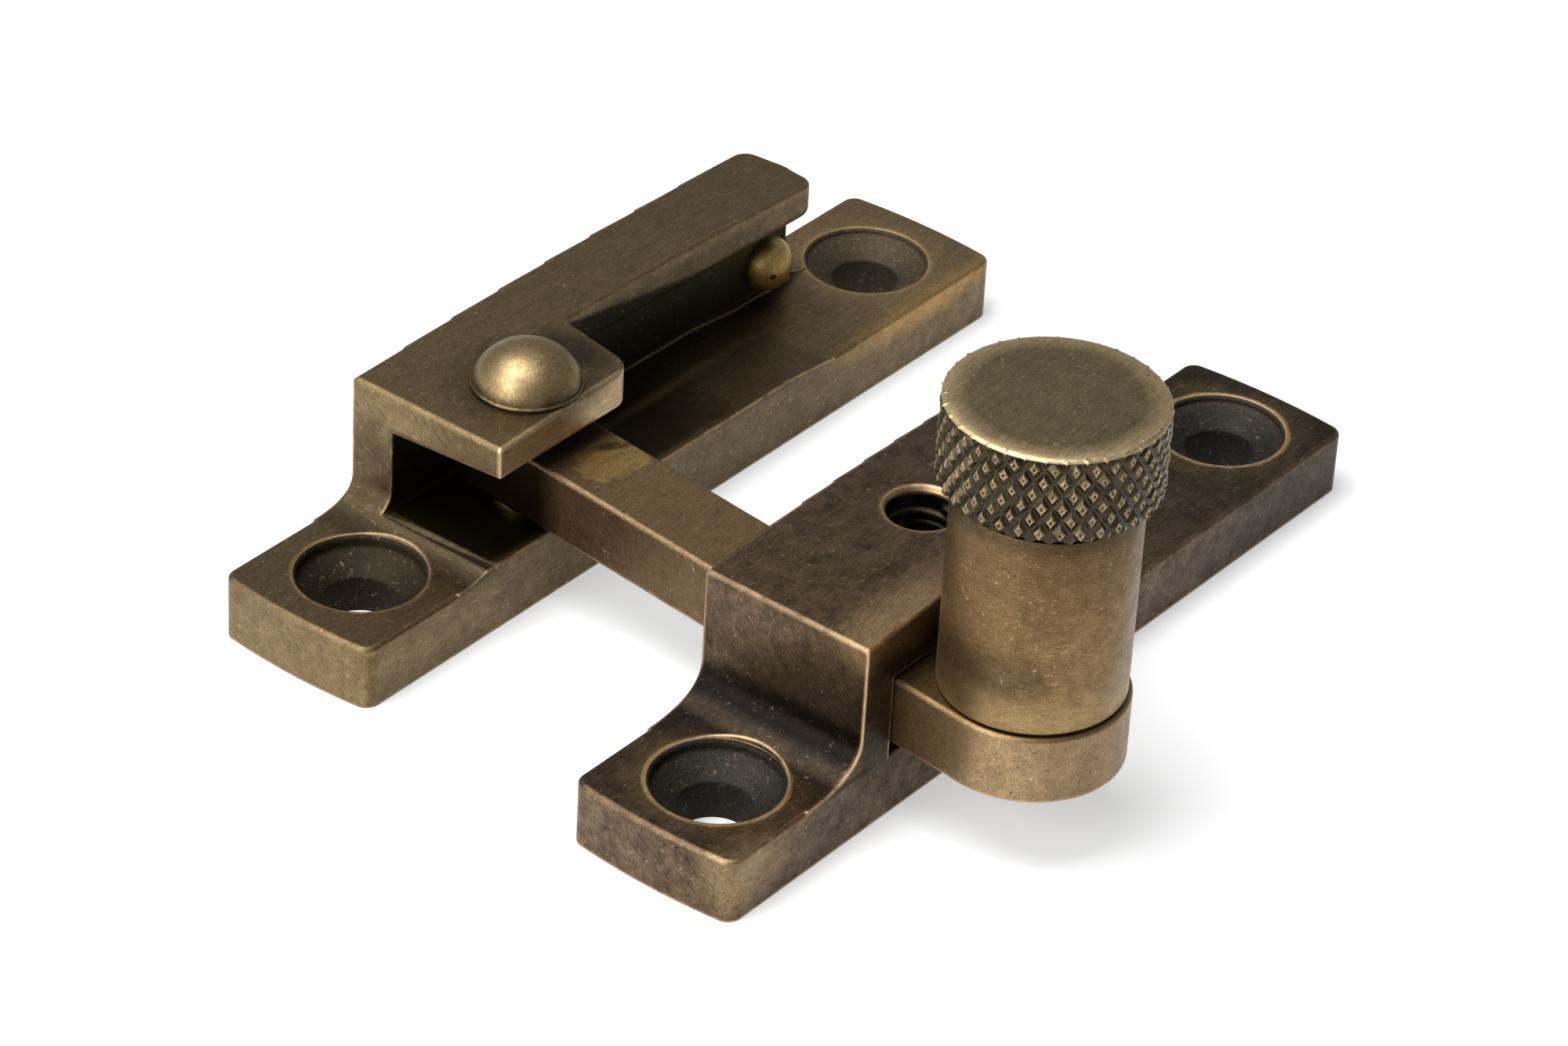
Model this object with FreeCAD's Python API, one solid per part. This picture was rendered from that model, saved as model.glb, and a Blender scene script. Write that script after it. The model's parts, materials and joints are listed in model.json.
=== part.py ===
import FreeCAD, Part
import math
import os

# Quadrant fastener for a sash window, in millimetres. The origin is on the arm plate's underside,
# half-way between its screw holes, +X runs along both plates, +Y from the keep to the arm plate,
# and +Z up.

# Length by which a cutting or a joined solid runs past the faces that it meets
margin = 1.0

# Both plates
lug_thickness = 4.9
end_bow = 0.45
plate_corner_radius = 1.1
plate_edge_radius = 0.3
plates_apart = 19.42

# Screw holes: a parallel recess with a worn rim, a cone and a plain hole
screw_hole_radius = 2.5
screw_head_radius = 4.5
screw_rim_chamfer = 0.2
countersink_depth = 1.25

# Arm plate, with a back wall and a hood over a channel
arm_plate_length = 70.7
arm_plate_width = 13.52
arm_plate_left_inset = 7.05
arm_plate_right_inset = 7.25
arm_plate_left_recess = 0.9
arm_plate_right_recess = 0.35
hood_start = 13.6
hood_length = 43.1
hood_end_height = 14.85
hood_crown = 0.5
hood_edge_radius = 0.3
back_wall_left = 3.55
back_wall_right = 4.2
hood_toe = 4.0
hood_toe_height = 2.0
channel_floor_height = 5.4
platform_length = 32.5
platform_ramp = 5.0
ceiling_clearance = 0.6
ceiling_rise = 0.95

# Hood in plan: a full-width pad for the pivot, then a strip along the back
pad_length = 15.25
pad_front_length = 13.95
pad_corner_radius = 2.0
strip_width_left = 6.2
strip_width_right = 6.9
strip_bow = 0.35
strip_corner_radius = 1.3
strip_under_radius = 0.9

# Arm: a flat bar whose pivot lies off its middle line, with a round eye under the knob
arm_thickness = 5.0
arm_width_left = 2.2
arm_width_right = 4.6
arm_tail_length = 4.75
arm_eye_radius = 6.7
arm_edge_radius = 0.25
arm_rest_angle = 5.5

# Pivot rivet and its washers
pivot_inset = 21.05
pivot_from_front = 4.1
rivet_radius = 1.3
rivet_head_radius = 3.85
rivet_head_height = 3.1
rivet_tail_radius = 2.2
rivet_tail_depth = 1.0
rivet_tail_recess = 0.1
rivet_clearance = 0.06
rivet_seat_depth = 0.1
seat_clearance = 0.05
washer_radius = 2.1
washer_clearance = 0.05
lower_washer_thickness = 0.55
upper_washer_thickness = 0.85
running_gap = 0.05

# Stop peg in the back wall
peg_from_hood_end = 2.3
peg_height = 7.65
peg_head_radius = 2.15
peg_head_height = 2.0
peg_shank_radius = 1.4

# Keep plate, with an end wall that carries a roof over a slot
keep_length = 70.9
keep_width = 13.68
keep_left_inset = 6.825
keep_right_inset = 6.525
keep_left_recess = 0.75
keep_right_recess = 0.45
keep_holes_from_front = 6.65
keep_clearance = 0.18
housing_start = 13.6
housing_toe = 5.5
housing_toe_height = 2.8
end_wall_front = 3.05
end_wall_back = 3.4
slot_clearance = 0.4
roof_end_height = 14.95
roof_crown = 0.75
roof_tip_width = 1.2
roof_edge_radius = 0.25

# Threaded hole of the locking screw, cut plain at its outer radius
lock_hole_radius = 2.5
lock_hole_chamfer = 0.25
lock_hole_from_left = 14.8
lock_hole_from_front = 7.1

# Knob
knob_gap = 0.25
barrel_radius = 6.4
barrel_height = 15.15
barrel_edge_radius = 0.2
foot_radius = 5.7
foot_height = 0.15
neck_radius = 6.1
neck_height = 0.35
head_radius = 7.55
head_height = 6.7
head_round = 0.75
knurl_count = 35
knurl_rows = 7
knurl_depth = 0.3

# Knob screw, from below the arm
knob_screw_radius = 2.0
knob_screw_head_radius = 3.7
knob_screw_head_depth = 1.9
knob_screw_length = 12.0
knob_screw_clearance = 0.05
drive_slot_width = 0.9
drive_slot_depth = 0.8

# Places that follow from the sizes above
arm_plate_front = -arm_plate_width / 2
arm_plate_back = arm_plate_width / 2
arm_plate_left = (arm_plate_right_inset - arm_plate_left_inset - arm_plate_length) / 2
hood_left = arm_plate_left + hood_start
hood_right = hood_left + hood_length
keep_back = arm_plate_front - plates_apart
keep_front = keep_back - keep_width
pivot_x = arm_plate_left + pivot_inset
pivot_y = arm_plate_front + pivot_from_front
arm_bottom = channel_floor_height + lower_washer_thickness + running_gap
arm_top = arm_bottom + arm_thickness
lean = math.radians(arm_rest_angle)
rest_turn = -math.pi / 2 - lean
roof_arc_radius = pivot_y - keep_front
arm_side = pivot_x - math.tan(lean) * roof_arc_radius - arm_width_left / math.cos(lean)
housing_left = arm_side - keep_clearance - end_wall_front
keep_left = housing_left - housing_start
knob_reach = roof_arc_radius + knob_gap + barrel_radius
eye_offset = arm_eye_radius - arm_width_left
eye_along = math.sqrt(knob_reach ** 2 - eye_offset ** 2)
knob_x = pivot_x + eye_along * math.cos(rest_turn) - eye_offset * math.sin(rest_turn)
knob_y = pivot_y + eye_along * math.sin(rest_turn) + eye_offset * math.cos(rest_turn)
roof_right = pivot_x + math.sqrt(roof_arc_radius ** 2 - (pivot_y - keep_back + roof_tip_width) ** 2)
roof_length = roof_right - housing_left
barrel_bottom = arm_top + foot_height
barrel_top = barrel_bottom + barrel_height
head_bottom = barrel_top + neck_height
head_top = head_bottom + head_height
sky = head_top + 10


def vec(x, y, z=0.0):
    return FreeCAD.Vector(x, y, z)


def save(name, shape):
    shape.exportStep("parts/" + name + ".step")
    print(name, shape.isValid(), len(shape.Solids), "solid,", round(shape.Volume, 1), "mm3")


def outline(corners):
    """Closed wire through corners (x, y, radius), each rounded by an arc of its radius."""
    edges = []
    last = None
    for i, (x, y, radius) in enumerate(corners):
        point = vec(x, y)
        before = (vec(*corners[i - 1][:2]) - point).normalize()
        after = (vec(*corners[(i + 1) % len(corners)][:2]) - point).normalize()
        half = before.getAngle(after) / 2
        first = point + before * (radius / math.tan(half))
        if last is None:
            start = first
        else:
            edges.append(Part.LineSegment(last, first).toShape())
        last = first
        if radius > 0:
            last = point + after * (radius / math.tan(half))
            inward = (before + after).normalize()
            middle = point + inward * (radius / math.sin(half) - radius)
            edges.append(Part.Arc(first, middle, last).toShape())
    edges.append(Part.LineSegment(last, start).toShape())
    return Part.Wire(edges)


def prism(corners, low, high):
    """Upright solid with the rounded outline of the corners, from height low to height high."""
    face = Part.Face(outline(corners))
    face.translate(vec(0, 0, low))
    return face.extrude(vec(0, 0, high - low))


def box(left, right, front, back, low, high):
    return Part.makeBox(right - left, back - front, high - low, vec(left, front, low))


def section_along_x(points, left, right):
    """Solid whose section (y, z) runs along X."""
    wire = Part.makePolygon([vec(left, y, z) for y, z in points + points[:1]])
    return Part.Face(wire).extrude(vec(right - left, 0, 0))


def section_along_y(points, front, back):
    """Solid whose section (x, z) runs along Y."""
    wire = Part.makePolygon([vec(x, front, z) for x, z in points + points[:1]])
    return Part.Face(wire).extrude(vec(0, back - front, 0))


def turned(points, x, y):
    """Solid turned about the upright axis at (x, y) from its half section (radius, z)."""
    wire = Part.makePolygon([vec(r, 0, z) for r, z in points + points[:1]])
    solid = Part.Face(wire).revolve(vec(0, 0, 0), vec(0, 0, 1), 360)
    solid.translate(vec(x, y, 0))
    return solid


def cylinder(radius, low, high, x, y):
    return Part.makeCylinder(radius, high - low, vec(x, y, low))


def upright_edges(solid, low, high):
    """Straight upright edges of a solid that run from height low to height high."""
    boxes = [(edge, edge.BoundBox) for edge in solid.Edges]
    return [edge for edge, b in boxes if b.XLength < 0.001 and b.YLength < 0.001
            and abs(b.ZMin - low) < 0.01 and abs(b.ZMax - high) < 0.01]


def edges_at(solid, height):
    """Edges of a solid that lie level at a height."""
    boxes = [(edge, edge.BoundBox) for edge in solid.Edges]
    return [edge for edge, b in boxes if abs(b.ZMin - height) < 0.01 and abs(b.ZMax - height) < 0.01]


def crown_edges(solid, lowest):
    """Edges of the gently crowned top face, which is the widest face above a height."""
    tops = [face for face in solid.Faces if face.BoundBox.ZMin > lowest]
    return max(tops, key=lambda face: face.Area).OuterWire.Edges


def plate_blank(left, right, front, back):
    """Plain plate with bowed ends, rounded upright corners and soft upper edges."""
    y = (front + back) / 2
    lines = [
        Part.LineSegment(vec(left + end_bow, front), vec(right - end_bow, front)),
        Part.Arc(vec(right - end_bow, front), vec(right, y), vec(right - end_bow, back)),
        Part.LineSegment(vec(right - end_bow, back), vec(left + end_bow, back)),
        Part.Arc(vec(left + end_bow, back), vec(left, y), vec(left + end_bow, front)),
    ]
    face = Part.Face(Part.Wire([line.toShape() for line in lines]))
    solid = face.extrude(vec(0, 0, lug_thickness))
    solid = solid.makeFillet(plate_corner_radius, upright_edges(solid, 0, lug_thickness))
    return solid.makeFillet(plate_edge_radius, edges_at(solid, lug_thickness))


def toe_curve(foot, corner, wall):
    """Concave curve from the lug's top at the foot up to the wall, drawn towards the corner."""
    curve = Part.BezierCurve()
    curve.setPoles([foot, corner, wall])
    return curve.toShape()


def crowned_block(left, right, front, back, end_height, crown, toe, toe_height):
    """Block along Y whose top is an arc, with a concave toe at either end."""
    base = lug_thickness - margin
    foot_left = vec(left - toe, front, lug_thickness)
    foot_right = vec(right + toe, front, lug_thickness)
    wall_left = vec(left, front, lug_thickness + toe_height)
    wall_right = vec(right, front, lug_thickness + toe_height)
    top_left = vec(left, front, end_height)
    top_right = vec(right, front, end_height)
    summit = vec((left + right) / 2, front, end_height + crown)
    base_left = vec(left - toe, front, base)
    base_right = vec(right + toe, front, base)
    edges = [
        toe_curve(foot_left, vec(left, front, lug_thickness), wall_left),
        Part.makeLine(wall_left, top_left),
        Part.Arc(top_left, summit, top_right).toShape(),
        Part.makeLine(top_right, wall_right),
        toe_curve(wall_right, vec(right, front, lug_thickness), foot_right),
        Part.makeLine(foot_right, base_right),
        Part.makeLine(base_right, base_left),
        Part.makeLine(base_left, foot_left),
    ]
    return Part.Face(Part.Wire(edges)).extrude(vec(0, back - front, 0))


def screw_hole(x, y, recess):
    """Space of one screw: recess with a worn rim, cone and plain hole."""
    cone_top = lug_thickness - recess
    cone_bottom = cone_top - countersink_depth
    rim = screw_head_radius + screw_rim_chamfer
    above = lug_thickness + margin
    return turned([(0, -margin), (screw_hole_radius, -margin), (screw_hole_radius, cone_bottom),
                   (screw_head_radius, cone_top), (screw_head_radius, lug_thickness - screw_rim_chamfer),
                   (rim, lug_thickness), (rim, above), (0, above)], x, y)


def hood_block():
    return crowned_block(hood_left, hood_right, arm_plate_front, arm_plate_back, hood_end_height,
                         hood_crown, hood_toe, hood_toe_height)


def hood_plan(low):
    """Upright solid with the hood's outline: a full-width pad, then a strip with a bowed end."""
    front = arm_plate_front
    back = arm_plate_back
    corner_x = hood_right - strip_bow
    return prism([
        (hood_left - margin, back + margin, 0),
        (hood_left - margin, front, 0),
        (hood_left + pad_front_length, front, pad_corner_radius),
        (hood_left + pad_length, back - strip_width_left, 0),
        (corner_x, back - strip_width_right, strip_corner_radius),
        (hood_right, back - strip_width_right / 2, 0),
        (corner_x, back, strip_corner_radius),
        (corner_x - 2 * strip_corner_radius, back, 0),
        (corner_x - 2 * strip_corner_radius, back + margin, 0),
    ], low, sky)


def hood_roof():
    """Hood above a ceiling that rises to the front, with the strip's lower front edge rolled."""
    front = arm_plate_front - margin
    back = arm_plate_back + margin
    ceiling_back = arm_top + ceiling_clearance
    slope = ceiling_rise / arm_plate_width
    above = section_along_x([
        (front, ceiling_back + slope * (arm_plate_width + margin)),
        (back, ceiling_back - slope * margin),
        (back, sky),
        (front, sky),
    ], hood_left - margin, hood_right + margin)
    roof = hood_block().common(hood_plan(arm_top)).common(above)
    return roof.makeFillet(strip_under_radius, strip_under_edges(roof))


def strip_under_edges(roof):
    """Lower edges of the strip's front and of its rounded front corner."""
    boxes = [(edge, edge.BoundBox) for edge in roof.Edges]
    middle = arm_plate_back - strip_width_right / 2
    return [edge for edge, b in boxes if b.XMin > hood_left + pad_length - 0.01 and b.XLength > 0.01
            and b.YMax < middle - 0.01 and b.ZMax < hood_end_height - margin]


def arm_plate():
    """Arm plate in one piece: lugs, channel floor, back wall and hood."""
    front = arm_plate_front
    back = arm_plate_back
    left = hood_left - hood_toe
    right = hood_right + hood_toe
    plate_right = arm_plate_left + arm_plate_length
    body = plate_blank(arm_plate_left, plate_right, front, back)
    block = hood_block()
    wall = prism([
        (left, back, 0),
        (left, back - back_wall_left, 0),
        (right, back - back_wall_right, 0),
        (right, back, 0),
    ], 0, sky)
    slope_start = hood_left + platform_length
    slope_end = slope_start + platform_ramp
    floor = box(left, slope_start, front, back, 0, channel_floor_height)
    ramp = section_along_y([(slope_start, 0), (slope_start, channel_floor_height), (slope_end, lug_thickness),
                            (slope_end, 0)], front, back)
    end_corner = box(hood_right - 3 * strip_corner_radius, hood_right, back - strip_width_right / 2, back,
                     lug_thickness + hood_toe_height, sky).cut(hood_plan(0))
    body = body.fuse([block.common(wall), block.common(floor), ramp, hood_roof()])
    body = body.cut(end_corner).removeSplitter()
    body = body.makeFillet(hood_edge_radius, crown_edges(body, arm_top))
    body = body.cut(screw_hole(arm_plate_left + arm_plate_left_inset, 0, arm_plate_left_recess))
    body = body.cut(screw_hole(plate_right - arm_plate_right_inset, 0, arm_plate_right_recess))
    return body.cut(rivet_space()).cut(peg_hole())


def rivet_space():
    """Holes for the rivet, with flat seats for its head and its washer and a countersink for its tail."""
    head_seat = hood_top() - rivet_seat_depth
    washer_seat = washer_radius + seat_clearance
    head_space = rivet_head_radius + seat_clearance
    return turned([(0, -margin), (rivet_tail_radius, -margin), (rivet_tail_radius, 0),
                   (rivet_radius, rivet_tail_depth), (rivet_radius, channel_floor_height),
                   (washer_seat, channel_floor_height), (washer_seat, arm_top), (rivet_radius, arm_top),
                   (rivet_radius, head_seat), (head_space, head_seat), (head_space, sky), (0, sky)],
                  pivot_x, pivot_y)


def hood_top():
    """Height of the crowned top above the pivot."""
    half = hood_length / 2
    radius = (half ** 2 + hood_crown ** 2) / (2 * hood_crown)
    off = pivot_x - (hood_left + hood_right) / 2
    return hood_end_height + hood_crown - radius + math.sqrt(radius ** 2 - off ** 2)


def domed_solid(base, height):
    """Half ellipsoid that stands on z 0."""
    arc = Part.makeSphere(1.0, vec(0, 0, 0), vec(0, 0, 1), 0, 90, 360)
    stretch = FreeCAD.Matrix()
    stretch.scale(base, base, height)
    return arc.transformGeometry(stretch)


def pivot_rivet():
    """Rivet with a domed head, a plain shank and a tail closed into the countersink."""
    seat = hood_top() - rivet_seat_depth
    head = domed_solid(rivet_head_radius, rivet_head_height)
    head.translate(vec(pivot_x, pivot_y, seat))
    taper = (rivet_tail_radius - rivet_radius) / rivet_tail_depth
    tail_radius = rivet_tail_radius - rivet_tail_recess * taper
    shank = turned([(0, rivet_tail_recess), (tail_radius, rivet_tail_recess),
                    (rivet_radius, rivet_tail_depth), (rivet_radius, seat), (0, seat)], pivot_x, pivot_y)
    return head.fuse(shank).removeSplitter()


def washer(low, thickness):
    """Flat washer round the rivet."""
    bore = rivet_radius + washer_clearance
    return turned([(bore, low), (washer_radius, low), (washer_radius, low + thickness),
                   (bore, low + thickness)], pivot_x, pivot_y)


def peg_place():
    """Point where the peg's axis meets the inner face of the back wall, which is slightly slanted."""
    x = hood_right - peg_from_hood_end
    share = (x - hood_left + hood_toe) / (hood_length + 2 * hood_toe)
    return x, arm_plate_back - back_wall_left - share * (back_wall_right - back_wall_left)


def peg_hole():
    """Hole through the back wall, with a flat seat for the peg's head."""
    x, y = peg_place()
    centre = vec(x, y, peg_height)
    shank = Part.makeCylinder(peg_shank_radius, back_wall_right + margin, centre, vec(0, 1, 0))
    seat = Part.makeCylinder(peg_head_radius + seat_clearance, peg_head_height, centre, vec(0, -1, 0))
    return shank.fuse(seat)


def stop_peg():
    """Peg through the back wall, whose domed head stands in the channel and stops the open arm."""
    x, y = peg_place()
    head = domed_solid(peg_head_radius, peg_head_height)
    head.rotate(vec(0, 0, 0), vec(1, 0, 0), 90)
    head.translate(vec(x, y, peg_height))
    shank = Part.makeCylinder(peg_shank_radius, arm_plate_back - y, vec(x, y, peg_height), vec(0, 1, 0))
    return head.fuse(shank).removeSplitter()


def arm():
    """Flat bar drawn with its pivot at the origin and pointing along +X, then turned to its rest place."""
    tail = arm_tail_length
    left = -arm_width_left
    right = arm_width_right
    bar = prism([(-tail, left, 0), (eye_along, left, 0), (eye_along, right, 0), (-tail, right, 0)],
                arm_bottom, arm_top)
    round_tail = cylinder(arm_tail_length, arm_bottom, arm_top, 0, 0)
    keep_tail = box(-tail, 0, left, 0, arm_bottom, arm_top).fuse(round_tail)
    bar = bar.common(keep_tail.fuse(box(0, eye_along, left, right, arm_bottom, arm_top)))
    solid = bar.fuse(cylinder(arm_eye_radius, arm_bottom, arm_top, eye_along, eye_offset)).removeSplitter()
    solid = solid.makeFillet(arm_edge_radius, edges_at(solid, arm_top))
    solid = solid.cut(cylinder(rivet_radius + rivet_clearance, 0, sky, 0, 0))
    solid = solid.cut(knob_screw_space(eye_along, eye_offset))
    solid.rotate(vec(0, 0, 0), vec(0, 0, 1), math.degrees(rest_turn))
    solid.translate(vec(pivot_x, pivot_y, 0))
    return solid


def knob_screw_space(x, y):
    """Countersunk hole in the arm for the knob screw."""
    play = knob_screw_clearance
    head = knob_screw_head_radius + play
    shank = knob_screw_radius + play
    low = arm_bottom + play
    return turned([(0, 0), (head, 0), (head, low), (shank, low + knob_screw_head_depth), (shank, sky),
                   (0, sky)], x, y)


def knob_screw():
    """Countersunk screw with a straight drive slot."""
    low = arm_bottom + knob_screw_clearance
    neck = arm_bottom + knob_screw_head_depth
    tip = low + knob_screw_length
    solid = turned([(0, low), (knob_screw_head_radius, low), (knob_screw_radius, neck),
                    (knob_screw_radius, tip), (0, tip)], knob_x, knob_y)
    half = knob_screw_head_radius + margin
    slot = box(knob_x - half, knob_x + half, knob_y - drive_slot_width / 2, knob_y + drive_slot_width / 2,
               low - margin, low + drive_slot_depth)
    return solid.cut(slot)


def knurl_point(row, step):
    """Point of the knurl: its peaks and its groove crossings take turns along each row."""
    height = head_height * row / knurl_rows
    turn = math.radians(180 * step / knurl_count)
    radius = head_radius
    if (row + step) % 2:
        radius -= knurl_depth
    if height < head_round:
        radius -= head_round - math.sqrt(head_round ** 2 - (head_round - height) ** 2)
    return vec(knob_x + radius * math.cos(turn), knob_y + radius * math.sin(turn), head_bottom + height)


def knurled_head():
    """Head whose side is a net of small pyramids, closed by flat faces above and below."""
    steps = 2 * knurl_count
    rows = [[knurl_point(row, step) for step in range(steps)] for row in range(knurl_rows + 1)]
    faces = [Part.Face(Part.makePolygon(ring + ring[:1])) for ring in (rows[0], rows[-1])]
    for row in range(knurl_rows):
        for step in range(steps):
            after = (step + 1) % steps
            a, b = rows[row][step], rows[row][after]
            c, d = rows[row + 1][after], rows[row + 1][step]
            halves = [(a, b, c), (a, c, d)] if (row + step) % 2 else [(a, b, d), (b, c, d)]
            faces += [Part.Face(Part.makePolygon([p, q, r, p])) for p, q, r in halves]
    return Part.Solid(Part.Shell(faces))


def knob():
    """Turned barrel on a smaller foot, with a knurled head on a short neck."""
    tap_top = arm_bottom + knob_screw_length + margin
    tap_radius = knob_screw_radius + knob_screw_clearance
    body = turned([(tap_radius, arm_top), (foot_radius, arm_top), (foot_radius, barrel_bottom),
                   (barrel_radius - barrel_edge_radius, barrel_bottom),
                   (barrel_radius, barrel_bottom + barrel_edge_radius), (barrel_radius, barrel_top),
                   (neck_radius, barrel_top), (neck_radius, head_bottom), (0, head_bottom),
                   (0, tap_top), (tap_radius, tap_top)], knob_x, knob_y)
    return body.fuse(knurled_head())


def roof_outline():
    """Roof in plan: straight in front of the end wall, then an arc about the pivot to a blunt tip."""
    tip_y = keep_back - roof_tip_width
    swing = math.asin((roof_right - pivot_x) / roof_arc_radius) / 2
    halfway = vec(pivot_x + roof_arc_radius * math.sin(swing), pivot_y - roof_arc_radius * math.cos(swing))
    lines = [
        Part.LineSegment(vec(housing_left, keep_back), vec(housing_left, keep_front)),
        Part.LineSegment(vec(housing_left, keep_front), vec(pivot_x, keep_front)),
        Part.Arc(vec(pivot_x, keep_front), halfway, vec(roof_right, tip_y)),
        Part.LineSegment(vec(roof_right, tip_y), vec(roof_right, keep_back)),
        Part.LineSegment(vec(roof_right, keep_back), vec(housing_left, keep_back)),
    ]
    face = Part.Face(Part.Wire([line.toShape() for line in lines]))
    return face.extrude(vec(0, 0, sky))


def keep_plate():
    """Keep in one piece: lugs, end wall and roof."""
    front = keep_front
    back = keep_back
    left = housing_left - housing_toe
    keep_right = keep_left + keep_length
    body = plate_blank(keep_left, keep_right, front, back)
    block = crowned_block(housing_left, roof_right, front, back, roof_end_height, roof_crown,
                          housing_toe, housing_toe_height)
    wall = prism([
        (left, back, 0),
        (left, front, 0),
        (housing_left + end_wall_front, front, 0),
        (housing_left + end_wall_back, back, 0),
    ], 0, sky)
    above = box(housing_left, roof_right, front, back, arm_top + slot_clearance, sky)
    roof = block.common(roof_outline()).common(above)
    body = body.fuse([block.common(wall), roof]).removeSplitter()
    body = body.makeFillet(roof_edge_radius, crown_edges(body, arm_top))
    holes_y = front + keep_holes_from_front
    body = body.cut(screw_hole(keep_left + keep_left_inset, holes_y, keep_left_recess))
    body = body.cut(screw_hole(keep_right - keep_right_inset, holes_y, keep_right_recess))
    return body.cut(lock_hole())


def lock_hole():
    """Hole through the roof, with a small chamfer at its mouth."""
    x = housing_left + lock_hole_from_left
    y = keep_front + lock_hole_from_front
    half = roof_length / 2
    radius = (half ** 2 + roof_crown ** 2) / (2 * roof_crown)
    off = x - housing_left - half
    top = roof_end_height + roof_crown - radius + math.sqrt(radius ** 2 - off ** 2)
    edge = lock_hole_radius + lock_hole_chamfer
    return turned([(0, arm_top), (lock_hole_radius, arm_top), (lock_hole_radius, top - lock_hole_chamfer),
                   (edge, top), (edge, sky), (0, sky)], x, y)


def main():
    os.makedirs("parts", exist_ok=True)
    save("arm_plate", arm_plate())
    save("keep_plate", keep_plate())
    save("arm", arm())
    save("pivot_rivet", pivot_rivet())
    save("lower_washer", washer(channel_floor_height, lower_washer_thickness))
    save("upper_washer", washer(arm_top + running_gap, upper_washer_thickness))
    save("stop_peg", stop_peg())
    save("knob", knob())
    save("knob_screw", knob_screw())
    print("pivot", pivot_x, pivot_y, "knob", knob_x, knob_y, "arm", arm_bottom, arm_top)
    print("housing", housing_left, "keep", keep_left, keep_front, keep_back, "roof right", roof_right)


main()
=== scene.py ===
import bpy
import json
import math
from mathutils import Matrix, Vector


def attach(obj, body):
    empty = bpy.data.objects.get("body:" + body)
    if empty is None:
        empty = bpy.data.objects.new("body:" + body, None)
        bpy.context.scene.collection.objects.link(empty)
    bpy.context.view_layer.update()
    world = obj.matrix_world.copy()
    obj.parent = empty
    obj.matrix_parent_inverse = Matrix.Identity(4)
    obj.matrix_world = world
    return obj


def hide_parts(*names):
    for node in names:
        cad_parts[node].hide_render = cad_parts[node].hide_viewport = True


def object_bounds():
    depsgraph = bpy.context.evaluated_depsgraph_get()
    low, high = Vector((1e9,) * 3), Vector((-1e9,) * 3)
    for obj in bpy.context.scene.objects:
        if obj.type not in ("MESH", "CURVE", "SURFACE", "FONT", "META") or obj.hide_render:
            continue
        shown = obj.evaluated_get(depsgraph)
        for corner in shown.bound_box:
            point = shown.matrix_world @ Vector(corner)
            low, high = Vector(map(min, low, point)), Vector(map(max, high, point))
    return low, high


# Quadrant fastener in aged brass on a white ground.
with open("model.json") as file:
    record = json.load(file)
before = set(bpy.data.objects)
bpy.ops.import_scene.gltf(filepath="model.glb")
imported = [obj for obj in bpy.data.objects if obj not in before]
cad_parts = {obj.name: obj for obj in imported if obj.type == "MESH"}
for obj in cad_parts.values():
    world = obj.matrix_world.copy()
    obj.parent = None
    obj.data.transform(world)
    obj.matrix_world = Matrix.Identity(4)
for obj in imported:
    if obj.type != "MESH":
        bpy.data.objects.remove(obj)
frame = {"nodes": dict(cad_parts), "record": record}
cad_low, cad_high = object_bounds()
nodes = frame["nodes"]
bpy.ops.object.select_all(action="DESELECT")

# Camera: a long lens that looks down over the left ends of both plates,
# set from the straight edges of the plates in the photo.
camera_place = Vector((-0.27349, -0.220015, 0.23348))
camera_look = Vector((0.66242, 0.49673, -0.56078))
camera_right = Vector((0.62612, -0.77810, 0.05037))
camera_up = camera_right.cross(camera_look).normalized()
camera_turn = Matrix((camera_right.normalized(), camera_up, -camera_look.normalized())).transposed()
bpy.ops.object.camera_add(location=camera_place, rotation=camera_turn.to_euler())
camera = bpy.context.object
camera.name = "camera"
camera.data.sensor_width = 36
camera.data.lens = 133.44
camera.data.clip_start = 0.01
camera.data.clip_end = 10
bpy.context.scene.camera = camera
bpy.context.scene.view_settings.view_transform = "Standard"

# Floor: a wide sheet of white paper, lit until it is almost blank, that keeps
# only the soft shadows close to the metal.
floor_width = 4
floor_gap = 0.00002
blank_share = 0.42


def colour(code):
    """Linear colour of an sRGB hex value."""
    parts = [int(code[i:i + 2], 16) / 255 for i in (0, 2, 4)]
    return [p / 12.92 if p <= 0.04045 else ((p + 0.055) / 1.055) ** 2.4 for p in parts] + [1]


def add(tree, kind, values=None, **settings):
    """A node with its settings, whose inputs are set to values or linked to sockets or other nodes."""
    node = tree.nodes.new("ShaderNode" + kind)
    for name, value in settings.items():
        setattr(node, name, value)
    for name, value in (values or {}).items():
        if isinstance(value, bpy.types.Node):
            value = next(socket for socket in value.outputs if socket.enabled)
        if isinstance(value, bpy.types.NodeSocket):
            tree.links.new(value, node.inputs[name])
        else:
            node.inputs[name].default_value = value
    return node


bpy.ops.mesh.primitive_plane_add(size=floor_width, location=(0, 0, cad_low.z - floor_gap))
floor = bpy.context.object
floor.name = "floor"
paper = bpy.data.materials.new("white_paper")
paper.use_nodes = True
tree = paper.node_tree
tree.nodes.clear()
rays = add(tree, "LightPath")
seen = add(tree, "Math", {0: rays.outputs["Is Camera Ray"], 1: rays.outputs["Is Glossy Ray"]},
           operation="MAXIMUM")
seen = add(tree, "Math", {0: seen, 1: rays.outputs["Is Transmission Ray"]}, operation="MAXIMUM")
share = add(tree, "Math", {0: seen, 1: blank_share}, operation="MULTIPLY")
matt = add(tree, "BsdfDiffuse", {"Color": colour("F4F4F4")})
blank = add(tree, "Emission", {"Color": (1, 1, 1, 1), "Strength": 1.0})
both = add(tree, "MixShader", {0: share, 1: matt, 2: blank})
add(tree, "OutputMaterial", {"Surface": both})
floor.data.materials.append(paper)

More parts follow.
